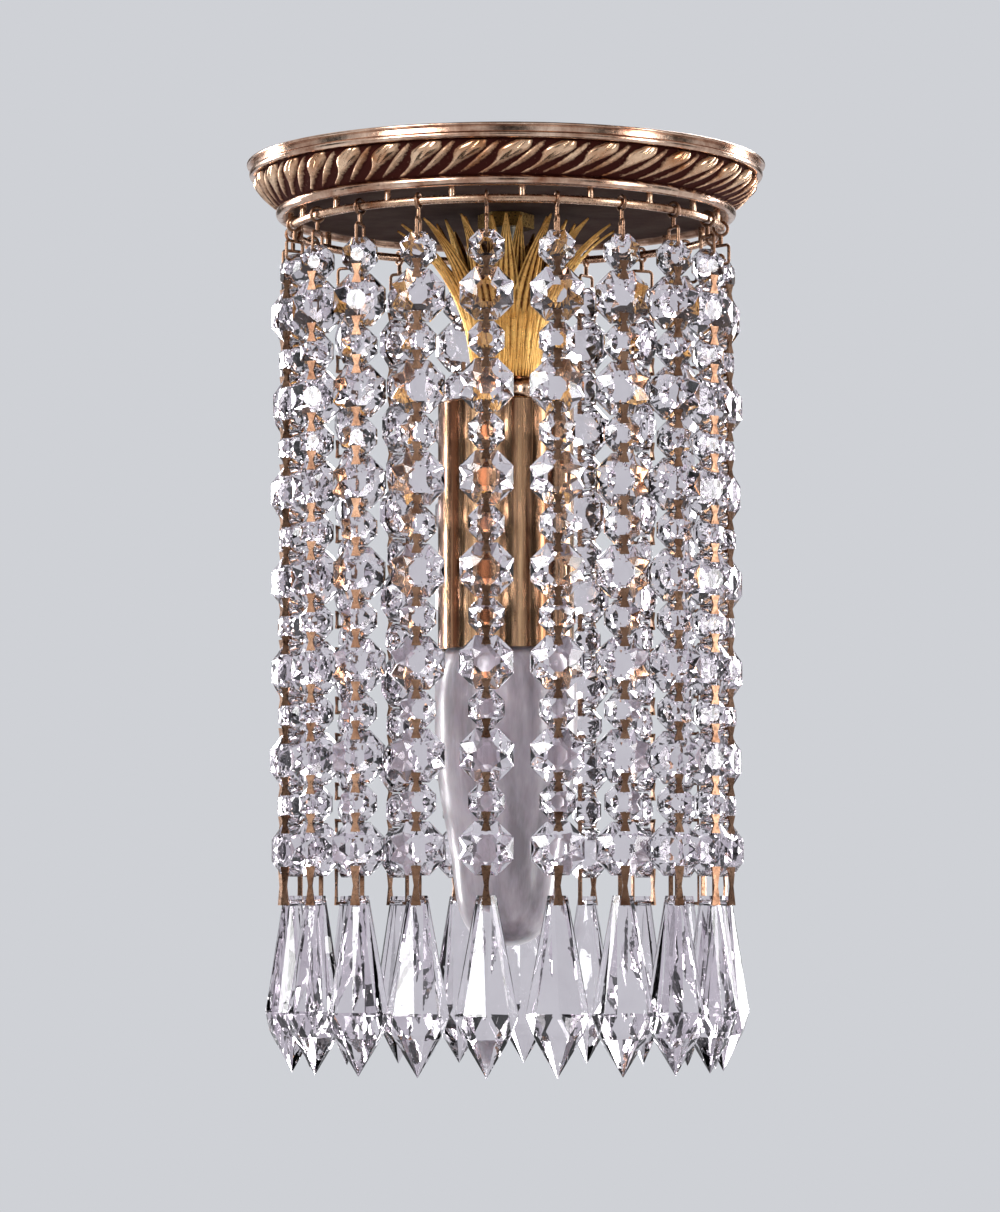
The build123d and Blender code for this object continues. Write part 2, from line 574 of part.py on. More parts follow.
# ---- bulb ----------------------------------------------------------------------------------------
def bulb_curve(inset):
    """Half outline of the candle bulb, from its neck to its rounded tip."""
    neck = BULB_NECK_RADIUS - inset
    widest = (BULB_RADIUS - inset, BULB_CAP_BOTTOM - BULB_WIDEST)
    shoulder = (BULB_SHOULDER_RADIUS - inset, SLEEVE_BOTTOM - BULB_SHOULDER_BELOW_SLEEVE)
    waist = (BULB_WAIST_RADIUS - inset, BULB_CAP_BOTTOM - BULB_WAIST_DROP)
    tip = (0, BULB_TIP + inset)
    upper = Spline((neck, BULB_CAP_BOTTOM), shoulder, widest, tangents=((NECK_FLARE, -1), (0, -1)))
    lower = Spline(widest, waist, tip, tangents=((0, -1), (-1, 0)))
    return Curve() + [upper, lower]


def bulb_glass():
    """Frosted candle-shaped envelope with its neck inside the cap."""
    outer = bulb_curve(0)
    inner = bulb_curve(BULB_WALL)
    neck_top = BULB_CAP_BOTTOM + BULB_CAP_HEIGHT / 2
    bore = BULB_NECK_RADIUS - BULB_WALL
    neck = Polyline(
        (BULB_NECK_RADIUS, BULB_CAP_BOTTOM), (BULB_NECK_RADIUS, neck_top),
        (bore, neck_top), (bore, BULB_CAP_BOTTOM))
    tip = Line((0, BULB_TIP), (0, BULB_TIP + BULB_WALL))
    return revolve(Plane.XZ * make_face(outer + inner + [neck, tip]), Axis.Z)


def bulb_cap():
    """Metal screw cap of the bulb."""
    inner = BULB_CAP_RADIUS - BULB_CAP_WALL
    return turned([
        (inner, BULB_CAP_BOTTOM), (BULB_CAP_RADIUS, BULB_CAP_BOTTOM), (BULB_CAP_RADIUS, BULB_CAP_TOP),
        (INSULATOR_RADIUS, BULB_CAP_TOP), (INSULATOR_RADIUS, BULB_CAP_TOP - BULB_CAP_WALL),
        (inner, BULB_CAP_TOP - BULB_CAP_WALL)])


def bulb_insulator():
    """Glass insulator that closes the end of the cap."""
    return rod(INSULATOR_RADIUS, BULB_CAP_TOP + INSULATOR_HEIGHT, BULB_CAP_TOP - BULB_CAP_WALL)


def bulb_contact():
    """Solder contact on the insulator."""
    bottom = BULB_CAP_TOP + INSULATOR_HEIGHT
    return rod(BULB_CONTACT_RADIUS, bottom + BULB_CONTACT_HEIGHT, bottom)


def filament_mount():
    """Glass stem with two support wires and the filament across them."""
    top = BULB_CAP_TOP - BULB_CAP_WALL
    stem_bottom = BULB_CAP_BOTTOM - FILAMENT_STEM_LENGTH
    fork = stem_bottom - FILAMENT_SPREAD
    end = fork - FILAMENT_SPREAD
    path = FilletPolyline(
        (0, 0, stem_bottom + FILAMENT_SPREAD), (FILAMENT_SPREAD, 0, fork), (FILAMENT_SPREAD, 0, end),
        (-FILAMENT_SPREAD, 0, end), (-FILAMENT_SPREAD, 0, fork), (-FILAMENT_ROOT, 0, stem_bottom),
        radius=FILAMENT_BEND)
    return rod(FILAMENT_STEM_RADIUS, top, stem_bottom) + wire_along(path, FILAMENT_WIRE)


def lock_nuts():
    """Three nuts on the stem: below the strap, below the floor and inside the husk."""
    levels = (-STRAP_THICKNESS, FLOOR_BOTTOM, HUSK_BASE + HUSK_SHEET + NUT_HEIGHT)
    return [hex_nut(level) for level in levels]


def save(name, pieces):
    """Write one node as a group of its separate solids."""
    solids = [solid for piece in pieces for solid in piece.solids()]
    export_step(Compound(children=solids), f"parts/{name}.step")


def main():
    os.makedirs("parts", exist_ok=True)
    save("canopy_rim", [canopy_rim()])
    save("leaf_band", [leaf_band()])
    save("canopy_floor", [canopy_floor()])
    save("hanging_ring", [hanging_ring()])
    save("ceiling_strap", [ceiling_strap()])
    save("threaded_stem", [threaded_stem()])
    save("lock_nuts", lock_nuts())
    save("terminal_block", [terminal_block()])
    save("brass_screws", [earth_screw()] + terminal_screws() + holder_screws())
    save("live_lead", [lead(1)])
    save("neutral_lead", [lead(-1)])
    save("leaf_husk", [leaf_husk()])
    save("husk_collar", [husk_collar()])
    save("lamp_sleeve", [lamp_sleeve()])
    save("lampholder", [holder_cap(), holder_body()])
    save("holder_contacts", [thread_shell(), centre_contact()])
    save("bulb_glass", [bulb_glass()])
    save("bulb_cap", [bulb_cap(), bulb_contact()])
    save("bulb_insulator", [bulb_insulator()])
    save("filament_mount", [filament_mount()])
    small = octagon_bead(SMALL_BEAD_SIZE, SMALL_BEAD_THICKNESS, SMALL_BEAD_HOLE)
    large = octagon_bead(BEAD_SIZE, BEAD_THICKNESS, BEAD_HOLE)
    drop = spear()
    short = bow_clip(BEAD_HOLE_INSET + BEAD_GAP + SMALL_BEAD_HOLE_INSET)
    long = bow_clip(BEAD_HOLE_INSET + SPEAR_DROP + SPEAR_HOLE_INSET)
    for index in range(STRAND_COUNT):
        name = f"strand_{index + 1:02d}"
        save(f"{name}_crystals", strand_crystals(index, small, large, drop))
        save(f"{name}_clips", strand_clips(index, short, long))


main()
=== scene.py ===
# %% [markdown]
# # A crystal fitting in brass and cut glass
# A small round fitting hangs from its brass canopy: a ring of crystal strands round a gilt leaf
# husk, a satin brass sleeve and a frosted candle bulb. The imported model is a fixed frame in metres,
# with its origin on the ceiling and +Z up. Everything made here sits in that frame.

# %% Load the frame
import json
import math

import bpy
import numpy as np
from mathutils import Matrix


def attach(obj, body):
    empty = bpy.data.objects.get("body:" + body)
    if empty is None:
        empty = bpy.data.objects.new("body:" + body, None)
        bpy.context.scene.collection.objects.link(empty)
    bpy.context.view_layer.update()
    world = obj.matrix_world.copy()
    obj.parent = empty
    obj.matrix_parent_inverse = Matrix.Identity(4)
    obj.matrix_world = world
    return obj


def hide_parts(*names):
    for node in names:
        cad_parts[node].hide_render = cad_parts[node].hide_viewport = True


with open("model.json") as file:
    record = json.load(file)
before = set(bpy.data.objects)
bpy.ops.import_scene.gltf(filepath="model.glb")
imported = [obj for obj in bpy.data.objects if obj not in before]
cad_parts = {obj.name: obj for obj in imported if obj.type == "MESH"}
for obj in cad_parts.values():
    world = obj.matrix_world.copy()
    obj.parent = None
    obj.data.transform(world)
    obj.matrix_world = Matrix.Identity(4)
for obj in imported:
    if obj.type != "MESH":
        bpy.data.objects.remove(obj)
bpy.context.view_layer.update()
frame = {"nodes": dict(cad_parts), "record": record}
MM = 0.001

# %% [markdown]
# ## The camera
# The picture was taken from a little below the canopy, with the lens level with the tops of the
# spears and tilted up. One pixel covers 0.245 mm at the fitting's axis, so a distance fixes the
# focal length. A tilt is used and no lens shift, because a shift would push the object off centre
# in other views.

# %% Camera
IMAGE_WIDTH, IMAGE_HEIGHT = 1000, 1212
AXIS_COLUMN = 506
HORIZON_ROW = 903.3
PIXEL = 0.24504 * MM
DISTANCE = 1.1
EYE_LEVEL = -0.1818
SENSOR = 36.0
NEAREST_SEEN = 0.05

camera_data = bpy.data.cameras.new("camera")
camera = bpy.data.objects.new("camera", camera_data)
bpy.context.scene.collection.objects.link(camera)
bpy.context.scene.camera = camera
focal_pixels = DISTANCE / PIXEL
camera_data.sensor_width = SENSOR
camera_data.lens = focal_pixels * SENSOR / IMAGE_HEIGHT
camera_data.clip_start = NEAREST_SEEN
camera.location = ((IMAGE_WIDTH / 2 - AXIS_COLUMN) * PIXEL, -DISTANCE, EYE_LEVEL)
tilt = math.atan((HORIZON_ROW - IMAGE_HEIGHT / 2) / focal_pixels)
camera.rotation_euler = (math.pi / 2 + tilt, 0, 0)
print("lens", round(camera_data.lens, 1), "mm, tilt", round(math.degrees(tilt), 2), "degrees")

# %% [markdown]
# ## Small helpers
# Colours are written as sRGB hex, as a paint chart gives them, and one function turns them to the
# linear values that the renderer works in. A second function adds one shader node with its settings
# and links, so that a material reads as a list of what it is made of. The last one measures how far
# a point is from the axis, which tells shelter on the canopy and distance on the floor.

# %% Colour and node helpers
def linear(colour):
    """Linear RGBA of an sRGB hex colour: c/12.92 when c is small, else ((c + 0.055)/1.055)^2.4."""
    c = np.array([int(colour[i:i + 2], 16) for i in (1, 3, 5)]) / 255
    rgb = np.where(c <= 0.04045, c / 12.92, ((c + 0.055) / 1.055) ** 2.4)
    return (*rgb.tolist(), 1.0)


def add(tree, kind, inputs=None, **settings):
    """Adds a node to a tree, with its properties, and its sockets' values or links."""
    node = tree.nodes.new(kind)
    for name, value in settings.items():
        setattr(node, name, value)
    for key, value in (inputs or {}).items():
        if isinstance(value, bpy.types.NodeSocket):
            tree.links.new(value, node.inputs[key])
        else:
            node.inputs[key].default_value = value
    return node


def shader_tree(name):
    """An empty material and its node tree."""
    material = bpy.data.materials.new(name)
    material.use_nodes = True
    material.node_tree.nodes.clear()
    return material, material.node_tree


def from_axis(tree, place):
    """Distance of a place from the Z axis: the length of (x, y, 0)."""
    level = add(tree, "ShaderNodeVectorMath", {0: place, 1: (1, 1, 0)},
                operation="MULTIPLY").outputs[0]
    return add(tree, "ShaderNodeVectorMath", {0: level}, operation="LENGTH").outputs["Value"]


print("mid grey #808080 is", round(linear("#808080")[0], 3), "in linear light")

# %% [markdown]
# ## Plain finishes
# Most small pieces differ in only a few things: two close colours that drift into each other, how
# rough they are, how fine the grain is and which way it runs. One function builds all of these. The
# grain is a noise on Object coordinates, scaled from a size in millimetres, and it drives colour,
# roughness and a very shallow bump, because on a real surface the three go together. A noise keeps
# near the middle of 0 to 1, so its usual span is stretched before it is used.

# %% A finish from its grain
GRAINS_PER_CLOUD = 12
GRAIN_SPAN = (0.3, 0.7)
PRODUCT_SPAN = (0.12, 0.42)
SMOOTHEST, ROUGHEST = 0.75, 1.3
GRAIN_DEPTH = 0.02 * MM


def finish(name, light, dark, metallic, roughness, grain_mm, stretch=(1, 1, 1), **surface):
    """Material whose grain of a given size mixes two colours and moves roughness and bump."""
    material, tree = shader_tree(name)
    place = add(tree, "ShaderNodeTexCoord").outputs["Object"]
    run = add(tree, "ShaderNodeMapping", {"Vector": place, "Scale": stretch}).outputs[0]
    grain = add(tree, "ShaderNodeTexNoise", {
        "Vector": run, "Scale": 1 / (grain_mm * MM), "Detail": 5.0, "Roughness": 0.6}).outputs[0]
    cloud = add(tree, "ShaderNodeTexNoise", {
        "Vector": place, "Scale": 1 / (GRAINS_PER_CLOUD * grain_mm * MM), "Detail": 2.0}).outputs[0]
    mixed = add(tree, "ShaderNodeMath", {0: grain, 1: cloud}, operation="MULTIPLY").outputs[0]
    amount = add(tree, "ShaderNodeMapRange", {
        "Value": mixed, "From Min": PRODUCT_SPAN[0], "From Max": PRODUCT_SPAN[1]}).outputs[0]
    colour = add(tree, "ShaderNodeMix", {0: amount, 6: linear(dark), 7: linear(light)},
                 data_type="RGBA").outputs[2]
    rough = add(tree, "ShaderNodeMapRange", {
        "Value": grain, "From Min": GRAIN_SPAN[0], "From Max": GRAIN_SPAN[1],
        "To Min": roughness * SMOOTHEST, "To Max": min(1.0, roughness * ROUGHEST)}).outputs[0]
    bump = add(tree, "ShaderNodeBump", {
        "Height": grain, "Distance": GRAIN_DEPTH, "Strength": 0.6}).outputs[0]
    skin = add(tree, "ShaderNodeBsdfPrincipled", {
        "Base Color": colour, "Metallic": metallic, "Roughness": rough, "Normal": bump, **surface})
    add(tree, "ShaderNodeOutputMaterial", {"Surface": skin.outputs[0]})
    return material


FINISHES = {
    # Zinc over rolled steel: cool grey, with fine lines that run along the sheet.
    "zinc_steel": finish("zinc_plated_steel", "#C9CCD0", "#8E9298", 1.0, 0.38, 1.2,
                         stretch=(0.1, 1, 1)),
    # Steel under a trace of oil: a warmer and duller grey in its thread.
    "stem_steel": finish("threaded_steel", "#B9B6AC", "#77746A", 1.0, 0.42, 0.8),
    # Brass straight from the lathe: yellow and bright, with a fine grain.
    "screw_brass": finish("turned_brass", "#D8B36A", "#8A6428", 1.0, 0.3, 0.5),
    # Nylon from a mould: milky white with a soft, blurred shine.
    "block_plastic": finish("moulded_nylon", "#E9E7DC", "#D3D0C2", 0.0, 0.5, 1.0),
    # Phenolic from a mould: hard cream, with a sharper shine than nylon.
    "holder_plastic": finish("moulded_phenolic", "#E2DCCB", "#C6BEA9", 0.0, 0.35, 1.4),
    # Extruded vinyl on the leads: an even colour with a waxy shine.
    "live_insulation": finish("brown_insulation", "#6A3A1E", "#4A2512", 0.0, 0.45, 0.6),
    "neutral_insulation": finish("blue_insulation", "#2B5FB0", "#1D447F", 0.0, 0.45, 0.6),
    # Rolled aluminium: pale silver whose reflections are a little blurred.
    "cap_metal": finish("rolled_aluminium", "#D3D3D1", "#9C9C9A", 1.0, 0.32, 0.7),
    # Glass fused into the cap: a deep black that shines as if wet.
    "black_glass": finish("fused_black_glass", "#15151A", "#08080B", 0.0, 0.12, 1.0),
    # Drawn glass rod: clear, so that only its edges show.
    "mount_glass": finish("drawn_glass", "#F2F5F4", "#E2E8E6", 0.0, 0.05, 2.0,
                          **{"Transmission Weight": 1.0, "IOR": 1.5}),
}
print("plain finishes", len(FINISHES))

# %% [markdown]
# ## Brass
# The canopy is polished rosy brass that has gone maroon brown in its hollows. Pure metal takes its
# looks from what it mirrors, so the colour only has to drift: clean where hands and cloths reach,
# dark where they don't. Where a piece has a relief, the depth is stored on its points and read
# here. The canopy's underside is found by its distance from the axis and painted dark brown as
# painted shade for the shadow under the canopy. Thick tarnish is an oxide and no longer a mirror,
# so wherever tarnish or that painted shade covers the metal, the metal is turned off and the
# roughness up, and its shine is kept low.

# %% Where the tarnish and painted shade lie
HOLLOW, PROUD = 0.62, 1.15
# Painted shade: inside this radius the canopy is painted dark brown for the shadow under it.
SHADE_RADIUS = 53.5 * MM
SHADE_BLEND = 3 * MM
SHADE_FRAY = 4 * MM
SHADE_COVER = 0.95
SPECK_SPAN = (0.58, 0.85)
SPECK_COVER = 0.7


def tarnish_and_shade_cover(tree, kind, place, cloud, fine):
    """How far tarnish and painted shade cover the metal, 0 to 1: tarnish in the hollows of a relief
    (depth + fine noise), painted shade on the canopy's underside (distance from the axis - 4 mm of
    cloud), or else tarnish in fine specks."""
    if kind == "relief":
        depth = add(tree, "ShaderNodeAttribute", attribute_name="relief").outputs["Fac"]
        uneven = add(tree, "ShaderNodeMath", {0: depth, 1: fine}, operation="ADD").outputs[0]
        return add(tree, "ShaderNodeMapRange", {
            "Value": uneven, "From Min": HOLLOW, "From Max": PROUD,
            "To Min": 1.0, "To Max": 0.0}).outputs[0]
    # Painted shade on the canopy's underside, set by the distance from the axis.
    if kind == "underside":
        frayed = add(tree, "ShaderNodeMath", {
            0: cloud, 1: -SHADE_FRAY, 2: from_axis(tree, place)},
            operation="MULTIPLY_ADD").outputs[0]
        return add(tree, "ShaderNodeMapRange", {
            "Value": frayed, "From Min": SHADE_RADIUS - SHADE_BLEND,
            "From Max": SHADE_RADIUS, "To Min": SHADE_COVER, "To Max": 0.0}).outputs[0]
    return add(tree, "ShaderNodeMapRange", {
        "Value": fine, "From Min": SPECK_SPAN[0], "From Max": SPECK_SPAN[1],
        "To Max": SPECK_COVER}).outputs[0]


# The radius inside which the canopy is painted with shade.
print("sheltered inside", round(SHADE_RADIUS / MM, 1), "mm from the axis")

# %% Aged brass
CLOUD = 9 * MM
FINE = 0.9 * MM
FINE_SPAN = (0.3, 0.75)
FINE_DEPTH = 0.03 * MM
POLISHED, RUBBED = 0.7, 1.5
OXIDE_AND_SHADE_METAL = 0.08
OXIDE_AND_SHADE_ROUGHNESS = 0.8
OXIDE_AND_SHADE_SHINE = 0.15


def aged_brass(name, clean, worn, dark, roughness, cover_kind="specks", streak=(1, 1, 1),
               cloud_size=CLOUD, edge=(0.35, 0.7)):
    """Brass that drifts in clouds from clean to worn, with dark tarnish over it where that lies."""
    material, tree = shader_tree(name)
    place = add(tree, "ShaderNodeTexCoord").outputs["Object"]
    run = add(tree, "ShaderNodeMapping", {"Vector": place, "Scale": streak}).outputs[0]
    cloud = add(tree, "ShaderNodeTexNoise", {
        "Vector": run, "Scale": 1 / cloud_size, "Detail": 4.0, "Roughness": 0.65}).outputs[0]
    fine = add(tree, "ShaderNodeTexNoise", {
        "Vector": run, "Scale": 1 / FINE, "Detail": 5.0, "Roughness": 0.7}).outputs[0]
    drift = add(tree, "ShaderNodeMapRange", {
        "Value": cloud, "From Min": edge[0], "From Max": edge[1]}).outputs[0]
    metal_colour = add(tree, "ShaderNodeMix", {0: drift, 6: linear(clean), 7: linear(worn)},
                       data_type="RGBA").outputs[2]
    # The dark colour lies over the metal where tarnish is, and on the canopy's underside as painted
    # shade; there the metal is turned off and the roughness raised.
    cover = tarnish_and_shade_cover(tree, cover_kind, place, cloud, fine)
    colour = add(tree, "ShaderNodeMix", {0: cover, 6: metal_colour, 7: linear(dark)},
                 data_type="RGBA").outputs[2]
    metal = add(tree, "ShaderNodeMapRange", {
        "Value": cover, "To Min": 1.0, "To Max": OXIDE_AND_SHADE_METAL}).outputs[0]
    grain = add(tree, "ShaderNodeMapRange", {
        "Value": fine, "From Min": FINE_SPAN[0], "From Max": FINE_SPAN[1],
        "To Min": roughness * POLISHED, "To Max": roughness * RUBBED}).outputs[0]
    rough = add(tree, "ShaderNodeMath", {0: cover, 1: OXIDE_AND_SHADE_ROUGHNESS, 2: grain},
                operation="MULTIPLY_ADD").outputs[0]
    bump = add(tree, "ShaderNodeBump", {
        "Height": fine, "Distance": FINE_DEPTH, "Strength": 0.5}).outputs[0]
    skin = add(tree, "ShaderNodeBsdfPrincipled", {
        "Base Color": colour, "Metallic": metal, "Roughness": rough, "Normal": bump,
        "Specular IOR Level": OXIDE_AND_SHADE_SHINE})
    add(tree, "ShaderNodeOutputMaterial", {"Surface": skin.outputs[0]})
    return material


BRASSES = {
    # Spun and polished: pale rose highlights, and an underside painted dark brown as painted shade.
    "canopy_brass": aged_brass("rosy_brass", "#EFD0B8", "#96644A", "#2A1009", 0.17, "underside"),
    # Cast, with only its high places polished: bright leaves on a maroon ground.
    "cast_brass": aged_brass("cast_brass", "#F6D2B0", "#B0744A", "#34100A", 0.2, "relief"),
    # Gilt over stamped sheet: a warmer yellow and a softer shine, brown between the ribs.
    "gilt_brass": aged_brass("gilt_brass", "#F7C878", "#CC8E42", "#52280B", 0.3, "relief"),
    # Brushed along a tube, with long light and brown bands painted from end to end: partly brushed
    # grain, partly painted reflection of the tall things that stand round it.
    "satin_brass": aged_brass("satin_brass", "#E2B98E", "#784C32", "#351508", 0.15,
                              streak=(1, 1, 0.02), cloud_size=4.5 * MM, edge=(0.42, 0.6)),
    # Drawn wire and rods: rosy like the canopy, with a duller shine.
    "wire_brass": aged_brass("drawn_brass", "#E6C3A6", "#94664A", "#35190F", 0.24),
    # Turned and polished: the sharpest mirror here, so it shows one clear line of light.
    "turned_collar": aged_brass("collar_brass", "#E4C2A4", "#6E4028", "#290A01", 0.14,
                                cloud_size=6 * MM, edge=(0.4, 0.62)),
    # Thin old wire and strip: dull and brown, so that it stays quiet between the crystals.
    "clip_brass": aged_brass("clip_brass", "#9C7A62", "#5E4030", "#27120A", 0.28),
}
FINISHES.update(BRASSES)
print("brass finishes", len(BRASSES))

# %% [markdown]
# ## Crystal
# The beads and spears are lead crystal, cut and polished: clear, with a high index that throws
# light about inside each piece, and a very faint lilac. The cut faces are real geometry, so the
# shader only adds what polishing leaves: a slight waviness and a little smoke.

# %% Cut crystal
CRYSTAL_INDEX = 1.56
WAVE, WAVE_DEPTH = 2.2 * MM, 0.04 * MM
SMOKE = 6 * MM

crystal, tree = shader_tree("cut_lead_crystal")
place = add(tree, "ShaderNodeTexCoord").outputs["Object"]
wave = add(tree, "ShaderNodeTexNoise", {
    "Vector": place, "Scale": 1 / WAVE, "Detail": 2.0}).outputs[0]
smoke = add(tree, "ShaderNodeTexNoise", {
    "Vector": place, "Scale": 1 / SMOKE, "Detail": 3.0}).outputs[0]
tint = add(tree, "ShaderNodeMix", {0: smoke, 6: linear("#E2DAE2"), 7: linear("#F8F4F8")},
           data_type="RGBA").outputs[2]
bump = add(tree, "ShaderNodeBump", {
    "Height": wave, "Distance": WAVE_DEPTH, "Strength": 0.35}).outputs[0]
skin = add(tree, "ShaderNodeBsdfPrincipled", {
    "Base Color": tint, "Roughness": 0.01, "IOR": CRYSTAL_INDEX, "Transmission Weight": 1.0,
    "Normal": bump})
add(tree, "ShaderNodeOutputMaterial", {"Surface": skin.outputs[0]})
FINISHES["cut_crystal"] = crystal
print("crystal index", CRYSTAL_INDEX)

# %% [markdown]
# ## Frosted glass
# The bulb is glass etched inside, and the etched skin scatters what little light gets in between the
# strands. Its body colour is painted a mauve grey, darker than etched glass, as painted shade for
# that little light, and it runs darker and lighter in soft streaks from top to tip. Its smooth
# outer skin mirrors the room and lights up along the edges. A milky body in the painted grey gives
# the first, and a clear coat with a strong index, with a little sheen over it, gives the second.

# %% Frosted glass
ETCH, ETCH_DEPTH = 0.5 * MM, 0.02 * MM
HAZE = 5 * MM
HAZE_RUN = (1, 1, 0.2)
HAZE_SPAN = (0.35, 0.65)

frosted, tree = shader_tree("frosted_bulb_painted_shade")
place = add(tree, "ShaderNodeTexCoord").outputs["Object"]
etch = add(tree, "ShaderNodeTexNoise", {
    "Vector": place, "Scale": 1 / ETCH, "Detail": 3.0}).outputs[0]
run = add(tree, "ShaderNodeMapping", {"Vector": place, "Scale": HAZE_RUN}).outputs[0]
haze = add(tree, "ShaderNodeTexNoise", {
    "Vector": run, "Scale": 1 / HAZE, "Detail": 4.0, "Roughness": 0.6}).outputs[0]
amount = add(tree, "ShaderNodeMapRange", {
    "Value": haze, "From Min": HAZE_SPAN[0], "From Max": HAZE_SPAN[1]}).outputs[0]
# Painted shade: the body's mauve grey is darker than etched glass, for the little light that reaches
# it.
tone = add(tree, "ShaderNodeMix", {0: amount, 6: linear("#786C74"), 7: linear("#B5A9B1")},
           data_type="RGBA").outputs[2]
bump = add(tree, "ShaderNodeBump", {
    "Height": etch, "Distance": ETCH_DEPTH, "Strength": 0.4}).outputs[0]
skin = add(tree, "ShaderNodeBsdfPrincipled", {
    "Base Color": tone, "Roughness": 0.3, "IOR": 1.5, "Normal": bump,
    "Subsurface Weight": 0.25, "Subsurface Scale": 4 * MM,
    "Sheen Weight": 1.0, "Sheen Roughness": 0.4, "Sheen Tint": linear("#FFFAFC"),
    "Coat Weight": 1.0, "Coat Roughness": 0.22, "Coat IOR": 1.9})
add(tree, "ShaderNodeOutputMaterial", {"Surface": skin.outputs[0]})
FINISHES["frosted_glass"] = frosted
print("finishes", len(FINISHES))

# %% [markdown]
# ## Surfaces from grids
# A shape is worked out as a whole grid of points at once, with two parameters. The first function
# turns such a grid into a mesh of four-sided faces. Either direction can be closed into a loop. The
# second gives a piece its finish and its place in the frame.

# %% Grid to mesh
def grid_mesh(name, points, close_rows=False, close_columns=False, relief=None):
    """Mesh of a (rows, columns, 3) grid: face (i, j) joins points (i, j), (i, j+1), (i+1, j+1) and
    (i+1, j). The height of a relief is stored on the points."""
    rows, columns = points.shape[:2]
    index = np.arange(rows * columns).reshape(rows, columns)
    if close_rows:
        index = np.vstack([index, index[:1]])
    if close_columns:
        index = np.hstack([index, index[:, :1]])
    faces = np.stack([index[:-1, :-1], index[:-1, 1:], index[1:, 1:], index[1:, :-1]], axis=-1)
    mesh = bpy.data.meshes.new(name)
    mesh.from_pydata(points.reshape(-1, 3).tolist(), [], faces.reshape(-1, 4).tolist())
    mesh.shade_smooth()
    if relief is not None:
        heights = mesh.attributes.new("relief", "FLOAT", "POINT")
        heights.data.foreach_set("value", relief.ravel())
    piece = bpy.data.objects.new(name, mesh)
    bpy.context.scene.collection.objects.link(piece)
    return piece


def place_piece(piece, body, slot, *nodes):
    """Gives a piece its finish, its body and the solids that it stands for."""
    piece.data.materials.clear()
    piece.data.materials.append(FINISHES[slot])
    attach(piece, body)
    if nodes:
        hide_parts(*nodes)
    print(piece.name, len(piece.data.polygons), "faces")


# %% [markdown]
# ## The leaf band
# The band is cast brass: S-shaped leaves lean over one after another on a dark sunk ground, each
# with a plump head at the upper right and a tail that runs out to the left. Carving each leaf would
# take a sculptor a day. Here the height is a formula of two numbers, the place round the band and
# the place down its side, so that all the leaves come from one line and the relief is real
# geometry.

# %% One leaf of the band
LEAF_START, LEAN, FOOT_BEND = 0.42, 0.75, 0.35
HEAD_DROP = 0.30
TAIL_HALF, HEAD_HALF = 0.07, 0.25
TOP_END, FOOT_END = 0.08, 0.06
VEIN_DEPTH, VEIN_SIDE, VEIN_HALF = 0.3, 0.03, 0.035
SHOOT_HEIGHT, SHOOT_SIDE = 0.6, 0.46


def blade(turn, line, half):
    """Rounded ridge along a line, repeated every leaf: sqrt(1 - ((turn - line) / half)^2)."""
    x = (turn - line + 0.5) % 1.0 - 0.5
    return np.sqrt(np.clip(1 - (x / half) ** 2, 0, 1))


def leaf_relief(turn, drop):
    """Height 0 to 1 of the cast relief. The line of a leaf runs down to the left and bends along
    the foot, 0.42 - 0.75 drop - 0.35 drop^4. It is plump three tenths of the way down, by a bell
    curve, and thins to a tail. A vein is cut into its head, and a thin shoot stands between two."""
    line = LEAF_START - LEAN * drop - FOOT_BEND * drop ** 4
    plump = np.exp(-((drop - HEAD_DROP) / HEAD_DROP) ** 2)
    ends = np.clip(drop / TOP_END, 0, 1) ** 0.5 * np.clip((1 - drop) / FOOT_END, 0, 1) ** 0.5
    leaf = blade(turn, line, TAIL_HALF + HEAD_HALF * plump) * (0.5 + 0.5 * plump) * ends
    vein = VEIN_DEPTH * blade(turn, line + VEIN_SIDE, VEIN_HALF) * plump
    middle = np.sin(np.pi * drop)
    shoot = SHOOT_HEIGHT * blade(turn, line + SHOOT_SIDE, 0.05 + 0.07 * middle) * ends
    return np.maximum(leaf - vein, shoot * middle ** 0.6)


print("height in the head", round(float(leaf_relief(LEAF_START - LEAN * HEAD_DROP, HEAD_DROP)), 2))

# %% [markdown]
# The band is a bulging cone. Its outer grid sinks by the relief's depth wherever the height is less
# than one, and its inner wall is plain, so a few rows are enough for it. Both run all the way
# round, and the rows close over the rims, so the band is one closed ring.

# %% Leaf band
BAND_TOP_RADIUS, BAND_BOTTOM_RADIUS = 62.6 * MM, 57.0 * MM
BAND_TOP, BAND_BOTTOM = -3.5 * MM, -11.0 * MM
BAND_BULGE = 1.3 * MM
BAND_WALL = 2.3 * MM
LEAVES, POINTS_PER_LEAF = 36, 28
BAND_ROWS, ROWS_PER_WALL_ROW = 56, 11
RELIEF = 1.5 * MM
RIM = 0.05

turns = np.linspace(0, LEAVES, LEAVES * POINTS_PER_LEAF, endpoint=False)
drop_grid, turn_grid = np.meshgrid(np.linspace(0, 1, BAND_ROWS), turns, indexing="ij")
height = leaf_relief(turn_grid, drop_grid)
height = height * np.clip(np.minimum(drop_grid, 1 - drop_grid) / RIM, 0, 1)
cone = BAND_TOP_RADIUS + (BAND_BOTTOM_RADIUS - BAND_TOP_RADIUS) * drop_grid
outer = cone + 4 * BAND_BULGE * drop_grid * (1 - drop_grid) - RELIEF * (1 - height)
inner = (cone - BAND_WALL)[::-ROWS_PER_WALL_ROW]
down = BAND_TOP + (BAND_BOTTOM - BAND_TOP) * drop_grid
radius = np.vstack([outer, inner])
level = np.vstack([down, down[::-ROWS_PER_WALL_ROW]])
angle = 2 * np.pi * turns[None, :] / LEAVES
band_points = np.stack([radius * np.sin(angle), -radius * np.cos(angle), level], axis=-1)
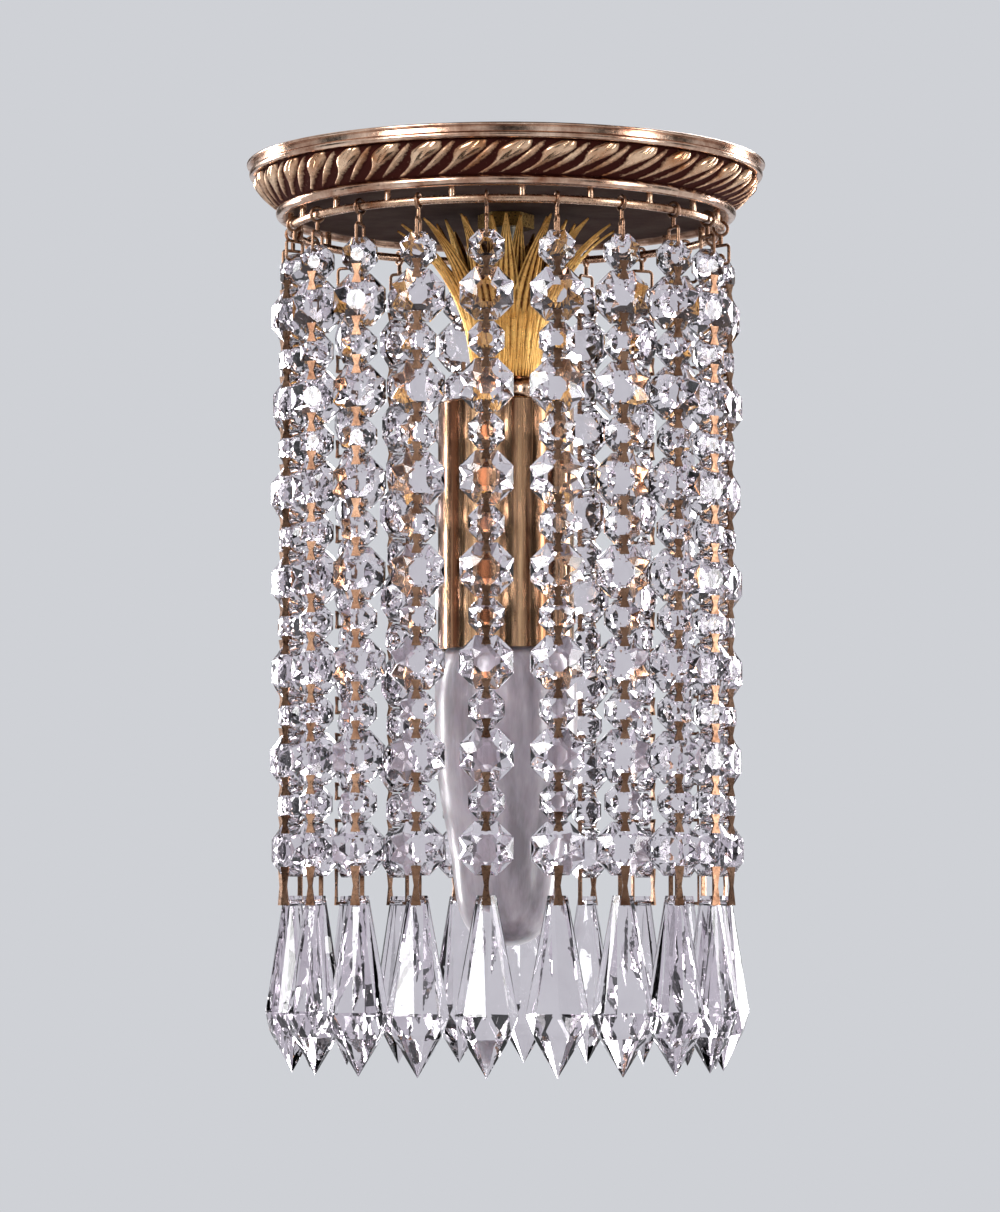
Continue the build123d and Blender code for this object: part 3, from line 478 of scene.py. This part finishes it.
band_relief = np.vstack([height, np.ones_like(inner)])
band = grid_mesh("leaf_band_relief", band_points, close_rows=True, close_columns=True,
                 relief=band_relief)
place_piece(band, "root", "cast_brass", "leaf_band")

# %% [markdown]
# ## The leaf husk
# Gilt sheet leaves rise from the collar and curl outwards, ribbed along their length, in two rows
# so that the second fills the gaps of the first. One leaf is a grid: how far along it and how far
# across. The other leaves are the same grid turned about the axis, and the sheet gets its thickness
# last.

# %% One leaf of the husk
HUSK_BASE, HUSK_HEIGHT = -53.0 * MM, 39.8 * MM
HUSK_FOOT_RADIUS = 7.9 * MM
POINTS_ALONG, POINTS_ACROSS = 46, 27
TIP_DROOP = 0.04
CUP = 0.8 * MM
RIBS, RIB_HEIGHT, RIB_SHADE = 2, 0.35 * MM, 0.46


def husk_leaf(reach, width, rise, curl):
    """One leaf. Its radius is the foot's + reach t^curl and its level is the base +
    rise (t - 0.04 t^6), for t from 0 at the foot to 1 at the tip. Its outline is a slender lance,
    (0.5 + 0.62 sin(pi t^0.85)) (1 - t^3.6)^0.8 of the half width, and its ribs are
    cos(2 pi RIBS s) across it, for s from -1 to 1."""
    along, across = np.meshgrid(np.linspace(0, 1, POINTS_ALONG), np.linspace(-1, 1, POINTS_ACROSS),
                                indexing="ij")
    radius = HUSK_FOOT_RADIUS + reach * along ** curl
    level = HUSK_BASE + rise * (along - TIP_DROOP * along ** 6)
    belly = 0.5 + 0.62 * np.sin(np.pi * along ** 0.85)
    outline = belly * np.clip(1.0 - along ** 3.6, 0, 1) ** 0.8
    cup = CUP * (1 - across ** 2) * np.sin(np.pi * np.clip(along + 0.1, 0, 1))
    rib = np.cos(2 * np.pi * RIBS * across) * (1 - across ** 6)
    ridge = RIB_HEIGHT * rib * np.clip(outline, 0, 1)
    points = np.stack([width / 2 * outline * across, -radius - cup - ridge, level], axis=-1)
    return points, 1 - RIB_SHADE + RIB_SHADE * rib


print("grid of a husk leaf", POINTS_ALONG, "by", POINTS_ACROSS)

# %% Husk leaves
HUSK_RING = 15
SHEET = 0.5 * MM
# For each row: name, turn in leaves, reach, width, share of the height, curl.
HUSK_ROWS = (("husk_outer", 0.0, 19.2 * MM, 6.6 * MM, 0.97, 2.4),
             ("husk_inner", 0.5, 9.5 * MM, 6.0 * MM, 1.0, 1.8))


def husk_ring(name, offset, reach, width, rise, curl):
    """Leaves turned about Z: x' = x cos a - y sin a and y' = x sin a + y cos a for each angle a."""
    leaf, rib = husk_leaf(reach, width, rise, curl)
    leaves = []
    for a in 2 * np.pi * (np.arange(HUSK_RING) + offset) / HUSK_RING:
        x = leaf[..., 0] * np.cos(a) - leaf[..., 1] * np.sin(a)
        y = leaf[..., 0] * np.sin(a) + leaf[..., 1] * np.cos(a)
        leaves.append(grid_mesh(name, np.stack([x, y, leaf[..., 2]], axis=-1), relief=rib))
    return leaves


def join(name, parts):
    """One object of several, so that all the leaves are one piece."""
    with bpy.context.temp_override(active_object=parts[0], selected_editable_objects=parts):
        bpy.ops.object.join()
    parts[0].name = name
    return parts[0]


leaves = []
for name, offset, reach, width, share, curl in HUSK_ROWS:
    leaves += husk_ring(name, offset, reach, width, HUSK_HEIGHT * share, curl)
husk = join("husk_leaves", leaves)
sheet = husk.modifiers.new("sheet", "SOLIDIFY")
sheet.thickness = SHEET
sheet.offset = -1
place_piece(husk, "root", "gilt_brass", "leaf_husk")

# %% [markdown]
# ## Finishes on the solids that stay
# Every other piece has its true shape already, so it keeps its mesh and only gets its finish. The
# record says which slot each one takes. The collar was turned and polished apart from the canopy,
# and it lies inside the radius where the canopy's finish paints shade, though it hangs below the
# canopy, so it has a brighter finish of its own.

# %% Assign finishes
slot_of = {part["node"]: part["material_slot"] for part in frame["record"]["subparts"]}
slot_of["husk_collar"] = "turned_collar"
for name, node in frame["nodes"].items():
    node.data.materials.clear()
    node.data.materials.append(FINISHES[slot_of[name]])
print("solids with a finish", len(slot_of))

# %% [markdown]
# ## Floor and backdrop
# A pale floor runs off to a pale sky of the same tone, so that no line shows where they meet. The
# camera, mirrors and glass see that tone, while the fill that reaches matt surfaces is set apart,
# so that colours render as written. Near the object a third of what shows is plain paint, which
# takes the shadow, and further off there is none. From underneath it is clear, so that the fitting
# can be looked at from below, as it hangs in use.

# %% Floor
FLOOR_LEVEL = -0.42
FLOOR_RADIUS = 8.0
FLOOR_CORNERS = 96
MOTTLE = 250 * MM
SHADOW_SPAN = (0.2, 0.9)
SHADOW_VEIL = 0.7
SKY = "#CFD1D6"


def seen_directly(tree):
    """1 for rays from the camera, from mirrors and through glass, else 0."""
    rays = add(tree, "ShaderNodeLightPath").outputs
    seen = add(tree, "ShaderNodeMath", {0: rays["Is Camera Ray"], 1: rays["Is Glossy Ray"]},
               operation="MAXIMUM").outputs[0]
    return add(tree, "ShaderNodeMath", {0: seen, 1: rays["Is Transmission Ray"]},
               operation="MAXIMUM").outputs[0]


floor_data = bpy.data.meshes.new("floor")
ring = np.linspace(0, 2 * np.pi, FLOOR_CORNERS, endpoint=False)
floor_points = np.stack([FLOOR_RADIUS * np.cos(ring), FLOOR_RADIUS * np.sin(ring),
                         np.full_like(ring, FLOOR_LEVEL)], axis=-1)
floor_data.from_pydata(floor_points.tolist(), [], [list(range(FLOOR_CORNERS))])
floor = bpy.data.objects.new("floor", floor_data)
bpy.context.scene.collection.objects.link(floor)
floor_paint, tree = shader_tree("floor_paint")
place = add(tree, "ShaderNodeTexCoord").outputs["Object"]
mottle = add(tree, "ShaderNodeTexNoise", {
    "Vector": place, "Scale": 1 / MOTTLE, "Detail": 3.0}).outputs[0]
tone = add(tree, "ShaderNodeMix", {0: mottle, 6: linear("#CDCFD4"), 7: linear("#D3D5DA")},
           data_type="RGBA").outputs[2]
paint = add(tree, "ShaderNodeBsdfPrincipled", {"Base Color": tone, "Roughness": 0.7}).outputs[0]
glow = add(tree, "ShaderNodeEmission", {"Color": linear(SKY)}).outputs[0]
far = add(tree, "ShaderNodeMapRange", {
    "Value": from_axis(tree, place), "From Min": SHADOW_SPAN[0], "From Max": SHADOW_SPAN[1],
    "To Min": SHADOW_VEIL, "To Max": 1.0}, interpolation_type="SMOOTHSTEP").outputs[0]
veil = add(tree, "ShaderNodeMath", {0: far, 1: seen_directly(tree)},
           operation="MULTIPLY").outputs[0]
mixed = add(tree, "ShaderNodeMixShader", {0: veil, 1: paint, 2: glow}).outputs[0]
below = add(tree, "ShaderNodeNewGeometry").outputs["Backfacing"]
clear = add(tree, "ShaderNodeBsdfTransparent").outputs[0]
one_sided = add(tree, "ShaderNodeMixShader", {0: below, 1: mixed, 2: clear}).outputs[0]
add(tree, "ShaderNodeOutputMaterial", {"Surface": one_sided})
floor_data.materials.append(floor_paint)
print("floor", FLOOR_LEVEL, "m")

# %% Sky
FILL = 0.6

world = bpy.data.worlds.new("studio")
bpy.context.scene.world = world
world.use_nodes = True
tree = world.node_tree
tree.nodes.clear()
backdrop = add(tree, "ShaderNodeBackground", {"Color": linear(SKY), "Strength": 1.0}).outputs[0]
fill = add(tree, "ShaderNodeBackground", {"Color": linear("#FFFFFF"), "Strength": FILL}).outputs[0]
sky = add(tree, "ShaderNodeMixShader", {0: seen_directly(tree), 1: fill, 2: backdrop}).outputs[0]
add(tree, "ShaderNodeOutputWorld", {"Surface": sky})
bpy.context.scene.view_settings.view_transform = "Standard"
print("sky", SKY)

# %% [markdown]
# ## Lamps and flags
# Large soft lamps give broad, calm highlights on metal, and cut glass splits them into many small
# ones. Bright metal and clear glass only show what is round them, and in an all-pale room both go
# flat. A photographer stands black flags just out of the picture to draw dark edges into them.

# %% Lamps
AIM = np.array([0, 0, -0.11])
# For each lamp: place, width and height in metres, watts.
LAMPS = {
    "key": ((-1.0, -1.1, 0.5), 0.6, 0.9, 22),
    "side": ((1.25, -0.7, 0.1), 0.3, 1.1, 9),
    "back": ((0.5, 1.3, 0.75), 0.6, 0.5, 12),
    "left_rim": ((-1.1, 0.85, 0.0), 0.25, 1.1, 17),
    "right_rim": ((1.1, 0.85, 0.0), 0.25, 1.1, 15),
}


def facing(place):
    """Rotation that turns a thing's own -Z from a place towards the middle of the fitting."""
    aim = AIM - np.array(place)
    return math.acos(-aim[2] / np.linalg.norm(aim)), 0, math.atan2(-aim[0], aim[1])


for name, (place, width, height, watts) in LAMPS.items():
    lamp_data = bpy.data.lights.new(name, "AREA")
    lamp_data.shape = "RECTANGLE"
    lamp_data.size = width
    lamp_data.size_y = height
    lamp_data.energy = watts
    lamp = bpy.data.objects.new(name, lamp_data)
    bpy.context.scene.collection.objects.link(lamp)
    lamp.location = place
    lamp.rotation_euler = facing(place)
print("lamps", len(bpy.data.lights))

# %% [markdown]
# The flags are tall black cards in a ring, some way apart, with one above and a small one under the
# fitting. The camera doesn't see them and they cast no shadow, but mirrors and glass show them.
# Their weave is drawn much coarser than cloth, because it would be too fine to show.

# %% Flags
FLAG_REACH, FLAG_LEVEL = 1.75, -0.1
FLAG_WIDTH, FLAG_HEIGHT = 0.5, 1.8
FLAG_ANGLES = (-135, -98, -62, -26, 26, 62, 98, 135, 178)
TOP_FLAG, LOW_FLAG = 1.3, 0.35
LOW_FLAG_GAP = 0.02
WEAVE = 2.5 * MM

flag_cloth, tree = shader_tree("black_cloth")
weave = add(tree, "ShaderNodeTexNoise", {
    "Vector": add(tree, "ShaderNodeTexCoord").outputs["Object"], "Scale": 1 / WEAVE}).outputs[0]
shade = add(tree, "ShaderNodeMix", {0: weave, 6: linear("#050506"), 7: linear("#101012")},
            data_type="RGBA").outputs[2]
cloth = add(tree, "ShaderNodeBsdfPrincipled", {"Base Color": shade, "Roughness": 0.95}).outputs[0]
add(tree, "ShaderNodeOutputMaterial", {"Surface": cloth})


def flag(name, place, width, height):
    """Black card that mirrors and glass see and the camera does not."""
    card = bpy.data.meshes.new(name)
    x, y = width / 2, height / 2
    card.from_pydata([(-x, -y, 0), (x, -y, 0), (x, y, 0), (-x, y, 0)], [], [(0, 1, 2, 3)])
    card.materials.append(flag_cloth)
    stand = bpy.data.objects.new(name, card)
    bpy.context.scene.collection.objects.link(stand)
    stand.location = place
    stand.rotation_euler = facing(place)
    stand.visible_camera = False
    stand.visible_shadow = False


for count, degrees in enumerate(FLAG_ANGLES, 1):
    turn = math.radians(degrees)
    flag(f"flag_{count}", (FLAG_REACH * math.sin(turn), FLAG_REACH * math.cos(turn), FLAG_LEVEL),
         FLAG_WIDTH, FLAG_HEIGHT)
flag("top_flag", (0.1, -0.1, 0.9), TOP_FLAG, TOP_FLAG)
flag("low_flag", (0.0, 0.0, FLOOR_LEVEL + LOW_FLAG_GAP), LOW_FLAG, LOW_FLAG)
print("flags", len(FLAG_ANGLES) + 2)
